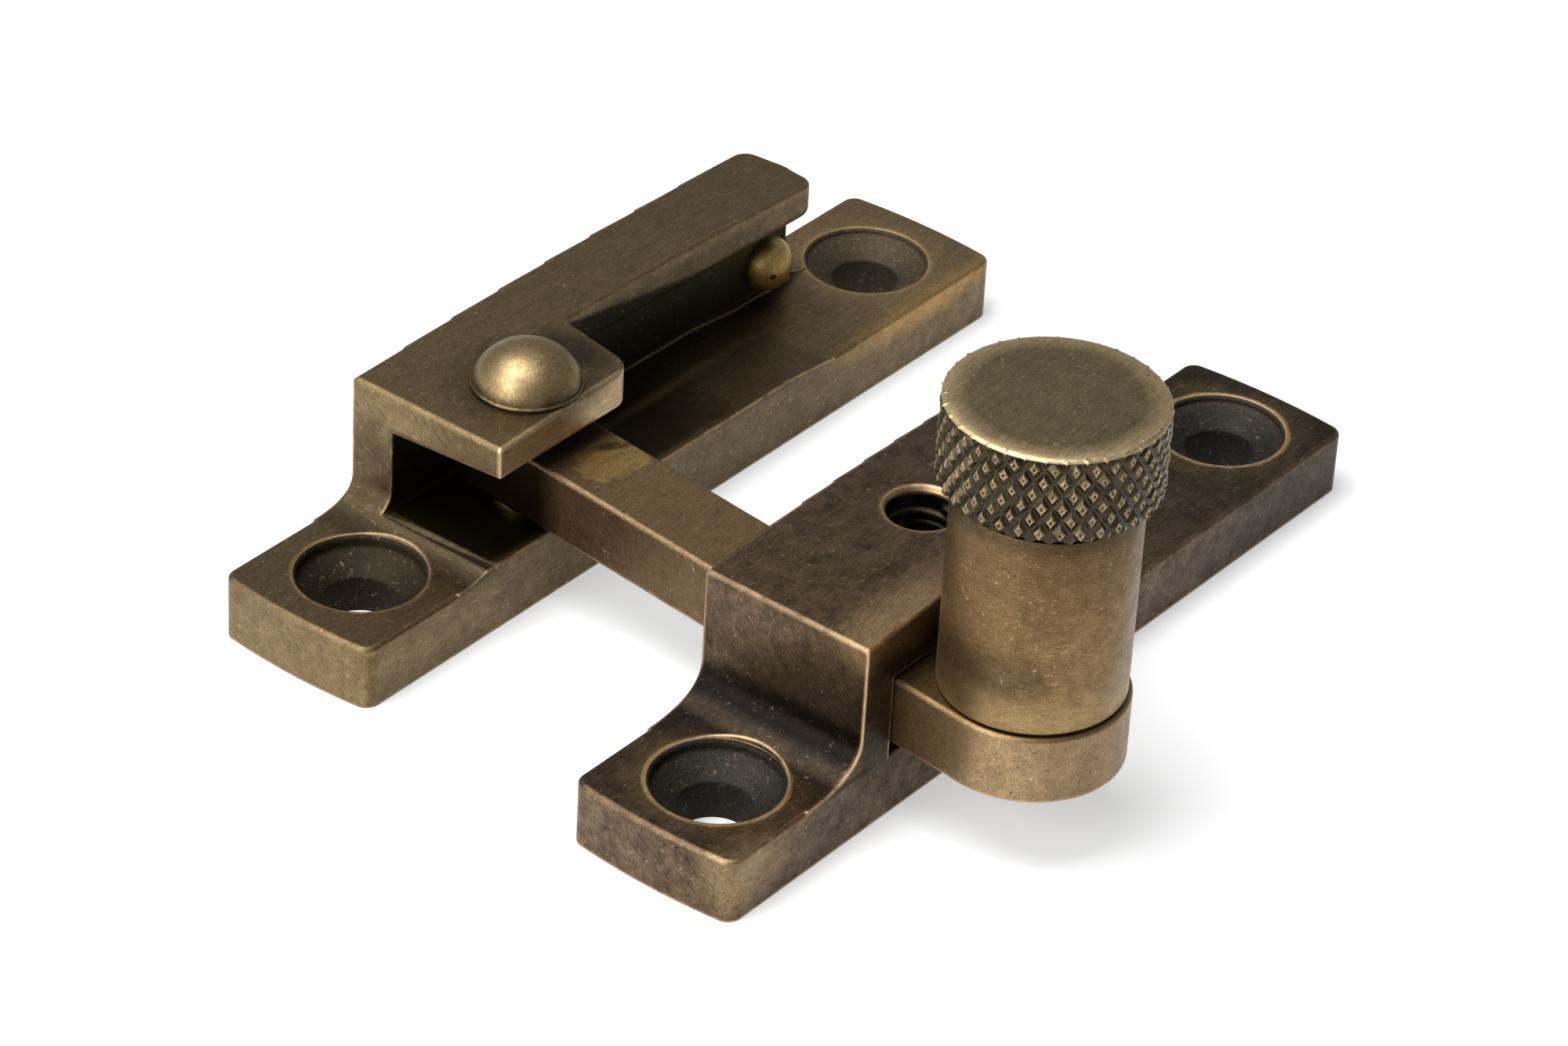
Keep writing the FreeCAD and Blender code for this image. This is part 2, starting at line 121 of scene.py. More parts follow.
# Light: a big soft box overhead and a little to the left, a second one at the
# left, and a pale grey room around them.
for name, place, size, power in (("softbox_overhead", (-0.16, 0.12, 0.62), 0.42, 5.6),
                                 ("softbox_left", (-0.62, 0.05, 0.30), 0.50, 5.0)):
    bpy.ops.object.light_add(type="AREA", location=place)
    lamp = bpy.context.object
    lamp.name = name
    lamp.data.size = size
    lamp.data.energy = power
    lamp.rotation_euler = (-Vector(place)).to_track_quat("-Z", "Y").to_euler()
room = bpy.data.worlds.new("pale_room")
bpy.context.scene.world = room
room.use_nodes = True
room.node_tree.nodes["Background"].inputs["Color"].default_value = colour("D8D8D8")
room.node_tree.nodes["Background"].inputs["Strength"].default_value = 0.52

# Arm plate: cast brass, filed and brushed, then darkened and rubbed back, so that its faces are olive
# brown and its edges bright; its channel is nearly black with dark patina and painted shade, and some
# faces carry painted light and painted shade.
# Places and sizes that the masks are given are in millimetres.
mm = 0.001
mounts = {mount["name"]: mount for mount in frame["record"]["mounts"]}
plate_hole_x = mounts["arm_plate_screws"]["dims"]["spacing_x_mm"] / 2
rivet = Vector(frame["record"]["behaviour"]["joints"][0]["pos_m"]) / mm
lug_height = 4.9
sink_radius = 4.72
sink_depth = 60


def overlap(tree, *masks):
    """Product of masks and shares, which is strong only where they all are."""
    product = masks[0]
    for mask in masks[1:]:
        product = add(tree, "Math", {0: product, 1: mask}, operation="MULTIPLY", use_clamp=True)
    return product


def paint(tree, tone, code, *masks):
    """Tone covered with a colour by the product of the masks and shares."""
    return add(tree, "Mix", {"Factor": overlap(tree, *masks), "A": tone, "B": colour(code)},
               data_type="RGBA")


def streaks(tree, point, turn, length, width):
    """Noise drawn out into brush marks of a length and width, along X after the turn."""
    laid = add(tree, "Mapping", {"Vector": point, "Rotation": turn, "Scale": (length, width, width)},
               vector_type="TEXTURE")
    return add(tree, "TexNoise", {"Vector": laid, "Scale": 1.0, "Detail": 3.0, "Roughness": 0.6})


def spot(tree, point, centre, reach, soft=0.3, ragged=0.3, turn=0.0):
    """Ragged ellipsoid about a centre, in millimetres: one inside and zero outside."""
    laid = add(tree, "Mapping", {"Vector": point, "Location": Vector(centre) * mm,
                                 "Rotation": (0, 0, turn), "Scale": Vector(reach) * mm},
               vector_type="TEXTURE")
    far = add(tree, "VectorMath", {0: laid}, operation="LENGTH")
    if ragged:
        rough = add(tree, "TexNoise", {"Vector": point, "Scale": 1 / (1.3 * mm), "Detail": 5.0,
                                       "Roughness": 0.6})
        far = add(tree, "Math", {0: rough, 1: ragged, 2: far}, operation="MULTIPLY_ADD")
    # Inputs 0 to 4 of this node are the value, the range it comes from and the range it goes to.
    middle = 1 + ragged / 2
    return add(tree, "MapRange", {0: far, 1: middle + soft / 2, 2: middle - soft / 2})


def block(tree, point, **limits):
    """One between limits along x, y or z: low, high and softness in millimetres, None where open."""
    place = add(tree, "SeparateXYZ", {0: point})
    sides = []
    for axis, (low, high, soft) in limits.items():
        value = place.outputs[axis.upper()]
        if low is not None:
            sides.append(add(tree, "MapRange", {0: value, 1: (low - soft) * mm, 2: (low + soft) * mm}))
        if high is not None:
            sides.append(add(tree, "MapRange", {0: value, 1: (high + soft) * mm, 2: (high - soft) * mm}))
    return overlap(tree, *sides)


def aged_brass(name, worn, satin, brown, dark, size, wear, marks=None, unroll=None,
               edge_width=0.36 * mm, brushing=0.26):
    """Brushed brass under a patina: worn edges, satin faces, brown mottling and dark hollows."""
    brass = bpy.data.materials.new(name)
    brass.use_nodes = True
    tree = brass.node_tree
    tree.nodes.clear()
    point = add(tree, "TexCoord").outputs["Object"]
    laid = unroll(tree, point) if unroll else point
    geometry = add(tree, "NewGeometry")

    # Brush marks run along the piece, and across it on the faces that look along X.
    # They are drawn coarser than real ones, so that they show from the camera.
    brush_width = 0.06 * mm
    brushed = streaks(tree, laid, (0, 0, 0.06), 2.6 * mm, brush_width)
    if not unroll:
        across = streaks(tree, laid, (0, -0.75, math.pi / 2), 1.8 * mm, brush_width)
        facing = add(tree, "SeparateXYZ", {0: geometry.outputs["True Normal"]})
        end_on = add(tree, "Math", {0: facing.outputs["X"]}, operation="ABSOLUTE")
        end_on = add(tree, "MapRange", {0: end_on, 1: 0.6, 2: 0.8})
        brushed = add(tree, "Mix", {"Factor": end_on, "A": brushed, "B": across})
        # Faces that look along X are painted lighter: painted light, as where the lamps fall on them.
        end_face_light = add(tree, "MapRange", {0: end_on, 3: 1.0, 4: 1.35})

    # The patina is mottled, with flakes, fine grain, long scratches and a few round pits.
    cloud = add(tree, "TexNoise", {"Vector": laid, "Scale": 1 / size, "Detail": 9.0, "Roughness": 0.8})
    mottle = add(tree, "MapRange", {0: cloud, 1: 0.34, 2: 0.66})
    flakes = add(tree, "TexNoise", {"Vector": laid, "Scale": 1 / (0.42 * mm), "Detail": 4.0,
                                    "Roughness": 0.75})
    bright_fleck = add(tree, "MapRange", {0: flakes, 1: 0.60, 2: 0.70})
    dark_fleck = add(tree, "MapRange", {0: flakes, 1: 0.40, 2: 0.30})
    grain = add(tree, "TexNoise", {"Vector": laid, "Scale": 1 / (0.16 * mm), "Detail": 3.0,
                                   "Roughness": 0.75})
    scratch = streaks(tree, laid, (0.3, 0.2, 0.9), 3.2 * mm, 0.05 * mm)
    scratch = add(tree, "MapRange", {0: scratch, 1: 0.68, 2: 0.78})
    pits = add(tree, "TexVoronoi", {"Vector": laid, "Scale": 1 / (1.5 * mm)})
    near_pit = add(tree, "MapRange", {0: pits.outputs["Distance"], 1: 0.09, 2: 0.05})
    chance = add(tree, "SeparateXYZ", {0: pits.outputs["Color"]})
    chosen = add(tree, "MapRange", {0: chance.outputs["X"], 1: 0.66, 2: 0.68})
    pit = overlap(tree, near_pit, chosen)

    # Edges are rubbed bright in patches, and hollows keep their dark patina.
    round_edge = add(tree, "Bevel", {"Radius": edge_width}, samples=6)
    slant = add(tree, "VectorMath", {0: round_edge, 1: geometry.outputs["Normal"]},
                operation="DOT_PRODUCT")
    edge = add(tree, "MapRange", {0: slant, 1: 0.995, 2: 0.90})
    hollow = add(tree, "AmbientOcclusion", {"Distance": 3.0 * mm}, samples=6, only_local=True)
    open_air = add(tree, "MapRange", {0: hollow.outputs["AO"], 1: 0.50, 2: 0.88})
    patchy = add(tree, "TexNoise", {"Vector": point, "Scale": 1 / (1.4 * mm), "Detail": 5.0,
                                    "Roughness": 0.65})
    rubbed = overlap(tree, edge, add(tree, "MapRange", {0: patchy, 1: 0.34, 2: 0.62, 3: 0.25}), open_air)
    hidden = add(tree, "MapRange", {0: open_air, 3: 0.8, 4: 0.0})

    tone = add(tree, "Mix", {"Factor": mottle, "A": colour(brown), "B": colour(satin)}, data_type="RGBA")
    if not unroll:
        # Painted light: the faces that look along X are made lighter.
        tone = add(tree, "VectorMath", {0: tone, "Scale": end_face_light}, operation="SCALE")
    dull = 0.0
    if marks:
        tone, shade, dull = marks(tree, point, tone)
        # The marks' dark holds painted shade as well as patina: it deepens the hollows and keeps the
        # wear off.
        hidden = add(tree, "Math", {0: hidden, 1: shade}, operation="MAXIMUM")
        stain_and_shade = add(tree, "Math", {0: shade, 1: dull}, operation="MAXIMUM")
        rubbed = overlap(tree, rubbed, add(tree, "MapRange", {0: stain_and_shade, 1: 0.9, 2: 0.2}))
    for pattern, low, high in ((brushed, 1 - brushing, 1 + brushing), (grain, 0.70, 1.22)):
        scale = add(tree, "MapRange", {0: pattern, 1: 0.32, 2: 0.66, 3: low, 4: high})
        tone = add(tree, "VectorMath", {0: tone, "Scale": scale}, operation="SCALE")
    fleck_share = add(tree, "MapRange", {0: patchy, 1: 0.35, 2: 0.65, 3: 0.10, 4: 0.55})
    tone = paint(tree, tone, worn, 0.30, scratch)
    tone = paint(tree, tone, worn, bright_fleck, fleck_share)
    tone = paint(tree, tone, dark, 0.55, dark_fleck)
    tone = paint(tree, tone, dark, 0.6, pit)
    tone = paint(tree, tone, dark, 0.93, hidden)
    tone = paint(tree, tone, worn, rubbed, wear)
    gloss = add(tree, "MapRange", {0: mottle, 3: 0.50, 4: 0.38})
    gloss = add(tree, "Mix", {"Factor": hidden, "A": gloss, "B": 0.32})
    gloss = add(tree, "Mix", {"Factor": dull, "A": gloss, "B": 0.72})
    height = add(tree, "Math", {0: brushed, 1: grain}, operation="ADD")
    height = add(tree, "Math", {0: height, 1: pit}, operation="SUBTRACT")
    bump = add(tree, "Bump", {"Height": height, "Distance": 0.012 * mm, "Strength": 0.6,
                              "Normal": round_edge})
    surface = add(tree, "BsdfPrincipled", {"Base Color": tone, "Metallic": 1.0, "Roughness": gloss,
                                           "Normal": bump})
    add(tree, "OutputMaterial", {"Surface": surface})
    return brass


def dress(node, material):
    """Gives a solid its material."""
    nodes[node].data.materials.clear()
    nodes[node].data.materials.append(material)


def arm_plate_marks(tree, point, tone):
    """Channel black with dark patina and painted shade, charcoal countersinks, painted shade on the
    foot, front faces and beside the rivet, painted light on the pad's front, a brown floor and a golden
    worn edge.
    """
    golden_edge = spot(tree, point, (27, -6.6, lug_height), (9.5, 1.0, 1.5), 0.9, 0.9, 0.03)
    tone = paint(tree, tone, "B08A4E", 0.55, golden_edge)
    worn_ring = spot(tree, point, (plate_hole_x, 0, lug_height), (5.8, 5.8, 1.5), 0.35, 0.5)
    tone = paint(tree, tone, "B0925E", 0.25, worn_ring)
    for hole_x, rim_radius, strength in ((-plate_hole_x, 4.92, 0.55), (plate_hole_x, 5.0, 0.7)):
        rim = spot(tree, point, (hole_x, 0, lug_height), (rim_radius, rim_radius, 1.5), 0.04, 0.05)
        tone = paint(tree, tone, "B0925E", strength, rim)
    open_floor = block(tree, point, x=(2, 24, 2.5), y=(-7.2, 3.4, 0.2), z=(4.95, 5.5, 0.05))
    tone = paint(tree, tone, "4E3E2C", 0.6, open_floor)
    glint = spot(tree, point, (5.5, -0.9, 5.4), (8, 0.45, 1), 1.2, 0.8, 0.01)
    tone = paint(tree, tone, "8A7450", 0.5, glint)
    # Painted shade on the strip's front face.
    strip_face_shade = block(tree, point, x=(-6, 15, 3.0), y=(-0.6, 0.75, 0.1), z=(12, 14.4, 0.35))
    tone = paint(tree, tone, "3C3326", 0.55, strip_face_shade)
    # Painted light on the pad's front face.
    pad_face_light = block(tree, point, y=(-7.2, -6.45, 0.1), z=(11.5, 16, 0.2))
    tone = paint(tree, tone, "BEA67E", 0.85, pad_face_light)
    # Painted shade on the plate's front face.
    plate_front_shade = block(tree, point, x=(-4, 18, 4), y=(-7.2, -6.5, 0.05))
    tone = paint(tree, tone, "4A3C2B", 0.5, plate_front_shade)
    near_lug = block(tree, point, x=(None, -26.5, 2.5), z=(4.7, 5.1, 0.05))
    tone = paint(tree, tone, "3A3024", 0.25, near_lug)
    far_lug = block(tree, point, x=(21, None, 3), z=(4.7, 5.1, 0.05))
    tone = paint(tree, tone, "9E8762", 0.3, far_lug)
    # Painted shade in the hollow where the lug rises into the hood's left end.
    foot = block(tree, point, x=(-25.6, -22.0, 0.5), z=(4.5, 7.0, 0.5))
    tone = paint(tree, tone, "2E2A22", 0.65, foot)
    halo = spot(tree, point, (rivet.x, rivet.y, 15.2), (5.3, 5.3, 2.0), 0.5, 0.6)
    tone = paint(tree, tone, "3A3122", 0.6, halo)
    # Painted shade on the pad to the right of the rivet's dome.
    pad_corner_shade = spot(tree, point, (-9.2, -2.4, 15.2), (1.9, 3.0, 1.2), 0.9, 0.6)
    tone = paint(tree, tone, "2A241A", 0.75, pad_corner_shade)
    lip = spot(tree, point, (-21.98, -2.1, 5.4), (0.30, 4.9, 0.6), 0.5, 0.3, 0.067)
    tone = paint(tree, tone, "BCA27A", 0.85, lip)
    low_end = spot(tree, point, (-21.7, 5.2, 8), (1.5, 2.6, 3.8), 0.6, 0.5)
    tone = paint(tree, tone, "3A3024", 0.6, low_end)
    dull = 0.0
    for hole_x, code in ((-plate_hole_x, "2E2A22"), (plate_hole_x, "4A4338")):
        sink = spot(tree, point, (hole_x, 0, 0), (sink_radius, sink_radius, sink_depth), 0.03, 0.0)
        tone = paint(tree, tone, code, 0.95, sink)
        dull = add(tree, "Math", {0: dull, 1: sink}, operation="MAXIMUM")

    # The channel is black at its closed end with dark patina and painted shade, and its floor clears
    # sooner than its wall; the painted glint lifts the shade on the floor.
    channel = block(tree, point, x=(-21.7, 30, 0.12), y=(-6.2, 3.3, 0.35), z=(5.25, 12.2, 0.12))
    place = add(tree, "SeparateXYZ", {0: point})
    x, z = place.outputs["X"], place.outputs["Z"]
    wavy = add(tree, "TexNoise", {"Vector": point, "Scale": 1 / (3.5 * mm), "Detail": 3.0})
    drift = add(tree, "Math", {0: wavy, 1: 5 * mm, 2: x}, operation="MULTIPLY_ADD")
    floor_fade = add(tree, "MapRange", {0: drift, 1: 8.5 * mm, 2: 3.0 * mm, 3: 0.12, 4: 0.86})
    wall_fade = add(tree, "MapRange", {0: drift, 1: 26 * mm, 2: 21 * mm, 3: 0.1, 4: 0.3})
    on_wall = block(tree, point, z=(5.65, None, 0.15))
    fade = add(tree, "Mix", {"Factor": on_wall, "A": floor_fade, "B": wall_fade})
    tone = paint(tree, tone, "34372C", 0.85, channel, on_wall)
    clear = add(tree, "MapRange", {0: glint, 3: 1.0, 4: 0.35})

    # Painted shade as black as the channel's runs up the strip's front, below a slanting line, towards
    # the hood's pad.
    slope = add(tree, "Math", {0: x, 1: 0.14, 2: z}, operation="MULTIPLY_ADD")
    below = add(tree, "MapRange", {0: slope, 1: 14.1 * mm, 2: 13.7 * mm})
    strip_front = block(tree, point, x=(-9, 14, 0.6), y=(-0.6, 0.75, 0.1), z=(11.3, 14.9, 0.15))
    tone = paint(tree, tone, "171610", 0.9, below, strip_front)
    dull = add(tree, "Math", {0: dull, 1: overlap(tree, 0.6, below, strip_front)}, operation="MAXIMUM")
    return tone, overlap(tree, channel, fade, clear), dull


plate_brass = aged_brass("brushed_aged_brass", "D2B48A", "766648", "5A4B36", "38311F", 1.6 * mm, 1.0,
                         arm_plate_marks)
dress("arm_plate", plate_brass)

# Keep plate: the same cast brass left darker, with a mottled brown patina that is
# worn bright on its edges and round its countersinks.
keep_mount = mounts["keep_plate_screws"]
keep_middle = Vector(keep_mount["pos_m"]) / mm
keep_half_spacing = keep_mount["dims"]["spacing_x_mm"] / 2
lock_hole = Vector(mounts["lock_screw_hole"]["pos_m"]) / mm


def keep_marks(tree, point, tone):
    """Charcoal countersinks with bright worn rims, and painted shade on the foot, toe, lock hole, front
    wall and right end.
    """
    roof_edge = spot(tree, point, (-19, -39.5, 15.2), (8, 2.6, 2.0), 0.9, 0.7)
    tone = paint(tree, tone, "A08660", 0.6, roof_edge)
    # Painted shade: the keep is darker towards its right end.
    tone = paint(tree, tone, "2A241B", 0.6, block(tree, point, x=(18, None, 6)))
    mirrored = add(tree, "VectorMath", {0: point}, operation="ABSOLUTE")
    lug_tops = block(tree, mirrored, x=(23, None, 2), z=(4.75, 5.2, 0.06))
    tone = paint(tree, tone, "2A241B", 0.45, lug_tops)
    # Painted shade on the keep's front wall beside the arm.
    front_wall_shade = spot(tree, point, (-21, -39.8, 9), (2.6, 1.5, 4.8), 0.5, 0.5)
    tone = paint(tree, tone, "1E1812", 0.65, front_wall_shade)
    lug_corner = spot(tree, point, (-36, -39.8, 3.2), (4.5, 2.0, 2.6), 0.8, 0.9)
    tone = paint(tree, tone, "A08A66", 0.45, lug_corner)
    end_wall = block(tree, point, x=(-24, -22.9, 0.1), z=(7, 12.2, 1.6))
    tone = paint(tree, tone, "2C251B", 0.5, end_wall)
    dull = 0.0
    for hole_x in (keep_middle.x - keep_half_spacing, keep_middle.x + keep_half_spacing):
        hole_top = (hole_x, keep_middle.y, lug_height)
        stain = spot(tree, point, hole_top, (6.2, 6.2, 1.2), 0.3, 0.9)
        tone = paint(tree, tone, "9A8058", 0.18, stain)
        rim = spot(tree, point, hole_top, (5.0, 5.0, 1.2), 0.04, 0.06)
        tone = paint(tree, tone, "B89A6C", 0.85, rim)
        sink = spot(tree, point, (hole_x, keep_middle.y, 0), (sink_radius, sink_radius, sink_depth),
                    0.03, 0.0)
        tone = paint(tree, tone, "35332F", 0.95, sink)
        dull = add(tree, "Math", {0: dull, 1: sink}, operation="MAXIMUM")
    lock_rim = spot(tree, point, (lock_hole.x, lock_hole.y, 15.6), (2.95, 2.95, 1.0), 0.08, 0.15)
    tone = paint(tree, tone, "A08660", 0.4, lock_rim)
    # Painted shade on the lug's top at the foot of the keep's end wall.
    toe = block(tree, point, x=(-26.4, -22.2, 0.8), z=(4.75, 5.2, 0.06))
    tone = paint(tree, tone, "161514", 0.7, toe)
    # Painted shade inside the lock hole, above the thread.
    bore = spot(tree, point, (lock_hole.x, lock_hole.y, 0), (2.62, 2.62, sink_depth), 0.03, 0.0)
    bore = overlap(tree, bore, block(tree, point, z=(11, 15.1, 0.1)))
    tone = paint(tree, tone, "2A261E", 0.9, bore)
    # Painted shade in the fillet at the foot of the keep's end wall.
    foot = block(tree, point, x=(-28.4, -22.3, 0.6), y=(-39.61, None, 0.21), z=(5.1, 7.9, 0.7))
    tone = paint(tree, tone, "121213", 0.93, foot)
    shade = add(tree, "Math", {0: overlap(tree, 0.6, foot), 1: overlap(tree, 0.7, bore)},
                operation="MAXIMUM")
    return tone, shade, dull


keep_brass = aged_brass("dark_aged_brass", "CDAD86", "6A5844", "32291F", "16130F", 1.5 * mm, 2.0,
                        keep_marks, brushing=0.42)
dress("keep_plate", keep_brass)

# Thread of the keep's lock hole: cut in the casting for the missing locking screw,
# and painted dark with the shade inside the hole.
thread_pitch = 0.8 * mm
thread_turns = 3
thread_start = 12.1 * mm
ridge_radius = 2.46 * mm
ridge_half_depth = 0.36 * mm
ridge_half_height = 0.38 * mm
bpy.ops.mesh.primitive_circle_add(vertices=4, radius=1)
thread = bpy.context.object
thread.name = "lock_hole_thread"
bpy.ops.object.mode_set(mode="EDIT")
bpy.ops.mesh.select_all(action="SELECT")
bpy.ops.transform.rotate(value=math.pi / 2, orient_axis="X", center_override=(0, 0, 0))
bpy.ops.transform.resize(value=(ridge_half_depth, 1, ridge_half_height), center_override=(0, 0, 0))
bpy.ops.transform.translate(value=(ridge_radius, 0, thread_start))
bpy.ops.object.mode_set(mode="OBJECT")
screw = thread.modifiers.new("thread", "SCREW")
screw.steps = 40
screw.render_steps = 40
screw.iterations = thread_turns
screw.screw_offset = thread_pitch
screw.use_normal_calculate = True
bpy.ops.object.modifier_apply(modifier="thread")
bpy.ops.object.mode_set(mode="EDIT")
bpy.ops.mesh.select_all(action="SELECT")
bpy.ops.mesh.fill_holes(sides=4)
bpy.ops.mesh.normals_make_consistent(inside=False)
bpy.ops.transform.translate(value=(lock_hole.x * mm, lock_hole.y * mm, 0))
bpy.ops.object.mode_set(mode="OBJECT")
oily_brass = aged_brass("shaded_thread_brass", "6A5E48", "3A352A", "221E18", "0C0B09", 1.5 * mm, 0.6)
thread.data.materials.append(oily_brass)
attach(thread, "plates")

# Arm: a flat brass bar, filed square and brushed, with a clean golden patch where
# the hood has kept the patina off.
arm_flank = (None, 10.85, 0.25)


def arm_marks(tree, point, tone):
    """Golden patch in front of the hood, with a dark smear, browner flanks, painted light on the eye's
    flanks and painted shade under the hood.
    """
    patch = spot(tree, point, (-12.6, -9.2, 11), (3.0, 2.3, 1.2), 0.12, 0.9, 0.2)
    tone = paint(tree, tone, "A88C56", 0.85, patch)
    smear = spot(tree, point, (-11.4, -8.3, 11), (1.4, 0.45, 1.0), 0.7, 0.9, -0.6)
    tone = paint(tree, tone, "3A3420", 0.75, smear)
    bar = block(tree, point, y=(-30, None, 2), z=arm_flank)
    tone = paint(tree, tone, "564330", 0.8, bar)
    # Painted light on the eye's flanks.
    eye = block(tree, point, y=(None, -43.5, 2.5), z=arm_flank)
    tone = paint(tree, tone, "A8937A", 0.15, eye)
    near_keep = block(tree, point, y=(-45, -36, 2.5), z=arm_flank)
    tone = paint(tree, tone, "564228", 0.45, near_keep)
    eye_top = block(tree, point, y=(None, -38.5, 1.5), z=(10.75, None, 0.15))
    tone = paint(tree, tone, "66522F", 0.6, eye_top)
    # Painted shade on the arm's flanks under the hood.
    under_hood_shade = block(tree, point, y=(-7.2, 4, 1.2), z=arm_flank)
    return tone, overlap(tree, 0.9, under_hood_shade), 0.0


arm_brass = aged_brass("brushed_arm_brass", "DCBE94", "907957", "6C583F", "1A150E", 1.8 * mm, 0.9,
                       arm_marks)
dress("arm", arm_brass)

# Pivot rivet and stop peg: turned brass, with domed heads polished by handling. The
# rivet was closed over the hood, and the peg is pressed into the back wall.


def rivet_marks(tree, point, tone):
    """Darker round the foot of the rivet's head, with scuffs, and a golden peg with a pit."""
    dome = spot(tree, point, (rivet.x, rivet.y, 19.6), (6.3, 6.3, 4.75), 0.10, 0.25)
    # Darker round the foot of the rivet's head.
    foot = add(tree, "MapRange", {0: dome, 3: 0.55, 4: 0.0})
    rivet_foot_dark = overlap(tree, foot, block(tree, point, x=(None, -1, 1)))
    peg_pit = spot(tree, point, (18.0, 0.9, 7.6), (0.22, 0.6, 0.22), 0.4, 0.2)
    scuffs = spot(tree, point, (-17.6, -4.2, 15.9), (1.5, 2.6, 0.7), 0.6, 1.2, -0.5)
    tone = paint(tree, tone, "5A4A34", 0.5, scuffs)
    on_peg = block(tree, point, x=(7.5, None, 2.5), y=(None, 3.5, 0.5))
    tone = paint(tree, tone, "B8A05C", 0.75, on_peg)
    shade = add(tree, "Math", {0: rivet_foot_dark, 1: overlap(tree, 0.9, peg_pit)}, operation="MAXIMUM")
    return tone, shade, 0.0


rivet_brass = aged_brass("rubbed_rivet_brass", "E2C898", "907F5C", "7C6949", "2A2216", 1.6 * mm, 0.4,
                         rivet_marks)
dress("pivot_rivet", rivet_brass)
dress("stop_peg", rivet_brass)

# Burr round the rivet's head: a thin ring of the rivet's own brass, pushed out over
# the hood as the head was hammered closed.
burr_height = 15.28
bpy.ops.mesh.primitive_torus_add(major_radius=3.88 * mm, minor_radius=0.13 * mm, major_segments=120,
                                 minor_segments=8, location=(0, 0, 0))
burr = bpy.context.object
burr.name = "rivet_burr"
bpy.ops.object.mode_set(mode="EDIT")
bpy.ops.mesh.select_all(action="SELECT")
bpy.ops.transform.vertex_random(offset=0.05 * mm, seed=3)
bpy.ops.transform.translate(value=(rivet.x * mm, rivet.y * mm, burr_height * mm))
bpy.ops.object.mode_set(mode="OBJECT")
bpy.ops.object.shade_smooth()
burr.data.materials.append(rivet_brass)
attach(burr, "plates")

# Washers and knob screw: plain turned brass, painted dark as the shade they lie in. The washers lie
# round the rivet, and the screw holds the knob from below the arm.
shade_dark_brass = aged_brass("shade_dark_brass", "8A7850", "4C4230", "302A1E", "0E0C0A", 2.0 * mm, 0.5)
for node in ("lower_washer", "upper_washer", "knob_screw"):
    dress(node, shade_dark_brass)

# Knob: one brass turning, with a plain barrel and a head pressed all over with
# diamond knurling, held by a screw from below the arm.
knob_x = -13.9014 * mm
knob_y = -46.509 * mm
knob_axis = (knob_x, knob_y, 0)
barrel_radius = 6.4 * mm
head_radius = 7.54 * mm
head_round = 0.75 * mm
head_low = 26.65 * mm
head_high = 33.35 * mm
knurls = 35
knurl_rows = 7
groove_radius = head_radius - 0.36 * mm
knurl_width = 2 * groove_radius * math.tan(math.pi / knurls)
knurl_height = 2 * (head_high - head_low) / knurl_rows


def knob_place(tree, point):
    """Arc length, distance from the axis and height, as X, Y and Z."""
    off = add(tree, "VectorMath", {0: point, 1: knob_axis}, operation="SUBTRACT")
    part = add(tree, "SeparateXYZ", {0: off})
    turn = add(tree, "Math", {0: part.outputs["Y"], 1: part.outputs["X"]}, operation="ARCTAN2")
    arc = add(tree, "Math", {0: turn, 1: barrel_radius}, operation="MULTIPLY")
    flat = add(tree, "VectorMath", {0: off, 1: (1, 1, 0)}, operation="MULTIPLY")
    reach = add(tree, "VectorMath", {0: flat}, operation="LENGTH")
    return add(tree, "CombineXYZ", {"X": arc, "Y": reach, "Z": part.outputs["Z"]})


def unroll_knob(tree, point):
    """Places for the brushing: round the barrel, but straight across the top."""
    on_top = block(tree, point, z=(33.13, None, 0.03))
    return add(tree, "Mix", {"Factor": on_top, "A": knob_place(tree, point), "B": point},
               data_type="VECTOR")


def knob_marks(tree, point, tone):
    """Charcoal in the knurl's grooves, an olive top, a barrel browner above with a stain, and dark
    patina with painted shade under the head.
    """
    place = knob_place(tree, point)
    tone = paint(tree, tone, "54412B", 0.55, block(tree, place, z=(20, None, 4)))
    tone = paint(tree, tone, "AC9468", 0.5, block(tree, place, z=(None, 13.25, 1.25)))
    stain = spot(tree, point, (-20.0, -48.5, 15.6), (2.4, 4.0, 1.6), 0.8, 1.6)
    tone = paint(tree, tone, "453827", 0.6, stain)
    on_head = block(tree, place, z=(26.6, None, 0.1))
    tone = paint(tree, tone, "9A8866", 0.9, on_head)
    on_top = block(tree, place, z=(33.07, None, 0.05))
    tone = paint(tree, tone, "B8A37C", 0.85, on_top)
    tone = paint(tree, tone, "685C41", 0.9, on_top, block(tree, place, y=(None, 6.35, 0.75)))
    rough = add(tree, "TexNoise", {"Vector": point, "Scale": 1 / (0.5 * mm), "Detail": 3.0,
                                   "Roughness": 0.7})
    reach = add(tree, "SeparateXYZ", {0: place}).outputs["Y"]
    worn_reach = add(tree, "Math", {0: rough, 1: 0.16 * mm, 2: reach}, operation="MULTIPLY_ADD")
    deep = add(tree, "MapRange", {0: worn_reach, 1: 7.60 * mm, 2: 7.49 * mm})
    beside = add(tree, "MapRange", {0: on_top, 3: 1.0, 4: 0.0})
    groove = overlap(tree, 0.93, on_head, deep, beside)
    # Dark patina and painted shade under the knurled head.
    neck = overlap(tree, 0.7, block(tree, place, z=(25.4, 26.6, 0.9)))
    return tone, add(tree, "Math", {0: groove, 1: neck}, operation="MAXIMUM"), 0.0


